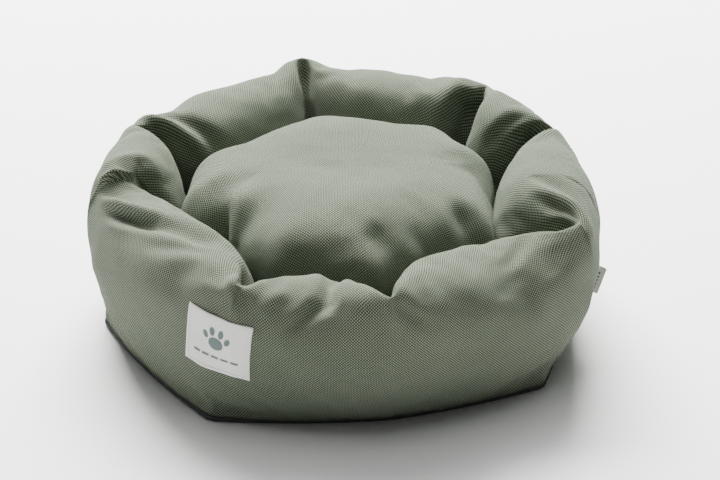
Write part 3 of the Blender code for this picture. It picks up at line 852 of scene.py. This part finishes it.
def make_label(cloth, ink, thread, wall):
    label = Label(wall)
    points, faces, uvs = [], [], []
    for column in range(LABEL_COLUMNS + 1):
        for row in range(LABEL_ROWS + 1):
            across, up = column / LABEL_COLUMNS - 0.5, row / LABEL_ROWS - 0.5
            points.append(tuple(label.at(across, up, label_relief(across, up))))
    edge_top = len(points)
    count = LABEL_ROWS + 1
    for column in range(LABEL_COLUMNS):
        for row in range(LABEL_ROWS):
            here = column * count + row
            face = (here, here + count, here + count + 1, here + 1)
            faces.append(face)
    border = [column * count for column in range(LABEL_COLUMNS)]
    border += [LABEL_COLUMNS * count + row for row in range(LABEL_ROWS)]
    border += [column * count + LABEL_ROWS for column in range(LABEL_COLUMNS, 0, -1)]
    border += list(range(LABEL_ROWS, 0, -1))
    for vertex in border:
        points.append(tuple(Vector(points[vertex]) - label.out * 0.0011))
    for number, vertex in enumerate(border):
        onward = (number + 1) % len(border)
        faces.append((vertex, edge_top + number, edge_top + onward, border[onward]))
    for face in faces:
        for vertex in face:
            point = Vector(points[vertex])
            uvs.append((point.dot(label.right), point.z))
    patch = mesh_object("label_cloth", points, faces, cloth, uvs)
    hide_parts("label_patch")

    shapes = [oval(0.0, 0.0015, 0.0078, 0.0062)]
    for side in (-1.0, 1.0):
        shapes.append(oval(side * 0.0115, 0.0075, 0.0026, 0.0040, side * -0.45))
        shapes.append(oval(side * 0.0046, 0.0128, 0.0028, 0.0044, side * -0.12))
    for number in range(5):
        x = (number - 2.0) * 0.0096
        shapes.append([(x - 0.0036, -0.0142), (x, -0.0142), (x + 0.0036, -0.0142),
                       (x + 0.0036, -0.0118), (x, -0.0118), (x - 0.0036, -0.0118)])
    points, faces = [], []
    for shape in shapes:
        centre = tuple(np.mean(shape, axis=0))
        made, fan = sheet_strip(label, shape, centre, 0.00025)
        first = len(points)
        points += made
        faces += [tuple(v + first for v in face) for face in fan]
    print_piece = mesh_object("label_print", points, faces, ink)

    stitches = make_stitches(label, thread)


def make_stitches(label, thread):
    """Short raised threads in a line round the label's edge."""
    inset, step, long, thick = 0.0030, 0.0034, 0.0024, 0.00032
    half_x, half_y = LABEL_WIDTH / 2.0 - inset, LABEL_HEIGHT / 2.0 - inset
    corners = [(-half_x, -half_y), (half_x, -half_y), (half_x, half_y), (-half_x, half_y)]
    points, faces = [], []
    for number in range(4):
        start, end = np.array(corners[number]), np.array(corners[(number + 1) % 4])
        length = np.linalg.norm(end - start)
        count = int(length / step)
        run = (end - start) / length
        for place in range(count):
            centre = start + run * (length * (place + 0.5) / count)
            rings = []
            for along, swell in ((-0.5, 0.35), (-0.3, 1.0), (0.0, 1.15), (0.3, 1.0), (0.5, 0.35)):
                x, y = centre + run * along * long
                across, up = x / LABEL_WIDTH, y / LABEL_HEIGHT
                middle = label.at(across, up, label_relief(across, up) + 0.0002)
                side = label.right * -run[1] + Vector((0.0, 0.0, 1.0)) * run[0]
                rings.append([tuple(middle + (side * math.cos(a) + label.out * math.sin(a)) * thick * swell)
                              for a in np.arange(6) * math.pi / 3.0])
            first = len(points)
            points += [point for ring in rings for point in ring]
            for ring in range(4):
                for corner_number in range(6):
                    here = first + ring * 6
                    onward = (corner_number + 1) % 6
                    faces.append((here + corner_number, here + onward, here + 6 + onward, here + 6 + corner_number))
            faces.append(tuple(first + v for v in range(5, -1, -1)))
            faces.append(tuple(first + 24 + v for v in range(6)))
    piece = mesh_object("label_stitches", points, faces, thread)
    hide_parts("label_stitching")
    return piece


# ---- the side tag -----------------------------------------------------------------------------------------
TAG_CENTRE = 0.068
TAG_HEIGHT = 0.029
TAG_REACH = 0.0125
TAG_ROOT = 0.0025                 # how far its ends go into the seam
TAG_LEAN = math.radians(16.0)
TAG_CURL = 0.45                   # how far it has curled towards the front, in radians
TAG_ROWS = 14


def make_tag(material, ink, wall_grid):
    """A ribbon folded in half, its two ends sewn into the seam."""
    turn = math.radians(TAG_DEG)
    column = int(np.argmin(np.abs(np.arctan2(wall_grid[:, 0, 1], wall_grid[:, 0, 0]) - turn)))
    wall = wall_grid[column][:len(wall_grid[column]) // 2]
    radius = float(np.interp(TAG_CENTRE, wall[:, 2], np.linalg.norm(wall[:, :2], axis=1)))
    out = Vector((math.cos(turn), math.sin(turn), 0.0))
    side = Vector((-math.sin(turn), math.cos(turn), 0.0))
    up = Vector((0.0, 0.0, 1.0)) * math.cos(TAG_LEAN) + out * math.sin(TAG_LEAN)
    root = out * radius + Vector((0.0, 0.0, TAG_CENTRE))
    half = 0.0006
    course = [(-TAG_ROOT + (TAG_REACH + TAG_ROOT - half) * t / 8.0, -half) for t in range(9)]
    course += [(TAG_REACH - half + half * math.cos(a), half * math.sin(a))
               for a in np.linspace(-math.pi / 2.0, math.pi / 2.0, 7)[1:-1]]
    course += [(x, half + 0.0004 * math.sin(max(x, 0.0) / TAG_REACH * math.pi))
               for x, _ in reversed(course[:9])]

    def place(depth, across, row):
        level = (row - 0.5) * TAG_HEIGHT
        bent = TAG_CURL * max(depth, 0.0) / TAG_REACH * (0.85 + 0.3 * row)
        reach = depth * math.cos(bent * 0.6)
        sway = across - max(depth, 0.0) * math.sin(bent * 0.6) * 1.2
        return tuple(root + out * reach + side * sway + up * (level - 0.06 * max(depth, 0.0)))

    points, faces, uvs = [], [], []
    for depth, across in course:
        for row in range(TAG_ROWS + 1):
            points.append(place(depth, across, row / TAG_ROWS))
    count = TAG_ROWS + 1
    for step in range(len(course) - 1):
        for row in range(TAG_ROWS):
            here = step * count + row
            faces.append((here, here + count, here + count + 1, here + 1))
            for vertex in faces[-1]:
                uvs.append((vertex // count * 0.0015, vertex % count / TAG_ROWS * TAG_HEIGHT))
    tag = mesh_object("side_ribbon", points, faces, material, uvs)
    marks, mark_faces = [], []
    for number in range(5):
        low = 0.17 + 0.14 * number
        first = len(marks)
        for row in (low, low + 0.08):
            for depth in (0.40, 0.62):
                marks.append(place(depth * TAG_REACH, -half - 0.0003, row))
        mark_faces.append((first, first + 1, first + 3, first + 2))
    printed = mesh_object("ribbon_print", marks, mark_faces, ink)
    for piece in (tag, printed):
        piece.parent = None
        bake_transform(piece)
    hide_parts("side_tag")


# ---- stage, lights and camera --------------------------------------------------------------------------
def make_stage():
    bpy.ops.mesh.primitive_plane_add(size=12.0)
    floor = bpy.context.object
    floor.name = "studio_floor"
    n = Nodes("pale_floor")
    grain = n.noise(n.object_position(), 3.0)
    n.set(colour=n.mix(grain, colour(0.94, 0.94, 0.94), colour(0.965, 0.965, 0.965)), roughness=0.9)
    floor.data.materials.append(n.material)


def area_light(name, place, aim, size, power, tint):
    data = bpy.data.lights.new(name, "AREA")
    data.shape = "RECTANGLE"
    data.size, data.size_y = size
    data.energy = power
    data.color = tint
    light = bpy.data.objects.new(name, data)
    bpy.context.collection.objects.link(light)
    light.location = place
    light.rotation_euler = (Vector(aim) - Vector(place)).to_track_quat("-Z", "Y").to_euler()


def make_lights():
    world = bpy.data.worlds.new("soft_room")
    bpy.context.scene.world = world
    world.use_nodes = True
    world.node_tree.nodes["Background"].inputs[0].default_value = (1.0, 1.0, 1.0, 1.0)
    world.node_tree.nodes["Background"].inputs[1].default_value = 0.105
    area_light("key_behind", (-0.30, 2.35, 2.45), (0.0, 0.0, 0.08), (2.6, 1.8), 680.0, (1.0, 0.995, 0.98))
    area_light("soft_overhead", (-0.1, 1.6, 2.9), (0.0, 0.0, 0.0), (2.2, 1.6), 90.0, (1.0, 1.0, 0.99))
    area_light("soft_centre", (0.0, -0.2, 3.4), (0.0, 0.0, 0.0), (2.4, 2.4), 40.0, (1.0, 1.0, 1.0))
    area_light("fill_left", (-1.9, -0.4, 0.9), (0.0, 0.0, 0.08), (1.0, 0.8), 2.0, (0.98, 0.99, 1.0))


def make_camera():
    """The photograph's viewing angle: a long lens, a little under thirty degrees above the floor."""
    data = bpy.data.cameras.new("camera")
    data.lens = 114.5
    data.sensor_width = 36.0
    camera = bpy.data.objects.new("camera", data)
    bpy.context.collection.objects.link(camera)
    elevation = math.radians(28.4)
    distance = 2.21
    aim = Vector((0.0146, 0.0, 0.0818))
    camera.location = aim + Vector((0.0, -math.cos(elevation), math.sin(elevation))) * distance
    camera.rotation_euler = (math.pi / 2.0 - elevation, 0.0, 0.0)
    bpy.context.scene.camera = camera


make_camera()
make_lights()
make_stage()
sage = weave_material("sage_hopsack", (0.405, 0.460, 0.356), (0.044, 0.058, 0.031))
wadding = plain_cloth("white_wadding", (0.80, 0.80, 0.78), scale=260.0, depth=0.0008)
dark_cloth = plain_cloth("dark_nonslip_cloth", (0.045, 0.050, 0.045), scale=1500.0)
dark_dots = plain_cloth("grip_dot_rubber", (0.030, 0.033, 0.030), scale=700.0, rough_value=0.55)
lining_cloth = plain_cloth("grey_lining", (0.15, 0.17, 0.135), scale=1400.0)
label_cloth = plain_cloth("off_white_label", (0.80, 0.80, 0.76), scale=2200.0)
label_ink = plain_cloth("slate_print", (0.13, 0.18, 0.17), scale=2600.0, rough_value=0.7)
thread = plain_cloth("pale_thread", (0.78, 0.78, 0.74), scale=3000.0, rough_value=0.7, sheen=0.3)
ribbon = plain_cloth("off_white_ribbon", (0.74, 0.73, 0.68), scale=2600.0, sheen=0.3)
bolster, cloth_grid, cloth_turns = make_bolster(sage)
cushion = make_cushion(sage)
make_underside(dark_cloth, dark_dots, cloth_grid)
make_base(wadding, lining_cloth, cloth_grid)
make_label(label_cloth, label_ink, thread, bolster)
make_tag(ribbon, label_ink, cloth_grid)
